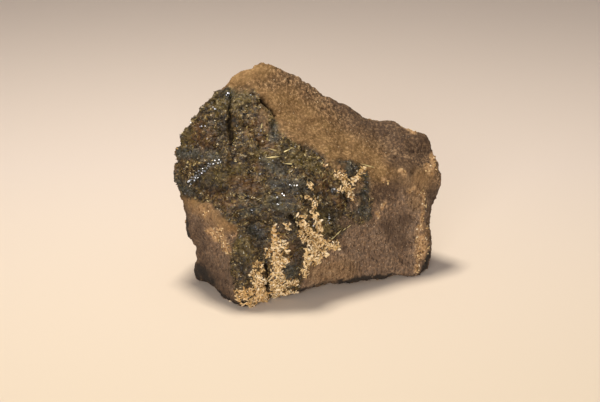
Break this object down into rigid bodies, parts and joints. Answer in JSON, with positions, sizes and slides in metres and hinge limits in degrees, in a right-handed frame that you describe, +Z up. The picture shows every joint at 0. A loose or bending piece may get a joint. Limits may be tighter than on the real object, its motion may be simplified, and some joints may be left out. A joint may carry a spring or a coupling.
{
  "type": "magnetite specimen",
  "caption": "Hand-sized lump of dark granular magnetite with a brown weathered skin and cream crust on the lower front, lying on a flat sole.",
  "frame": {"origin": "on the ground under the middle of the specimen's bounding box", "axes": "+X to the right along the specimen's length, -Y towards the viewer of the fresh dark break, +Z up"},
  "size_m": [0.0966, 0.0672, 0.0796],
  "materials": {
    "magnetite_ore": "rough granular dark ore with metallic glints; dull brown skin on the weathered sides"
  },
  "bodies": {
    "root": {"magnetite_rock": "magnetite_ore"}
  },
  "joints": []
}
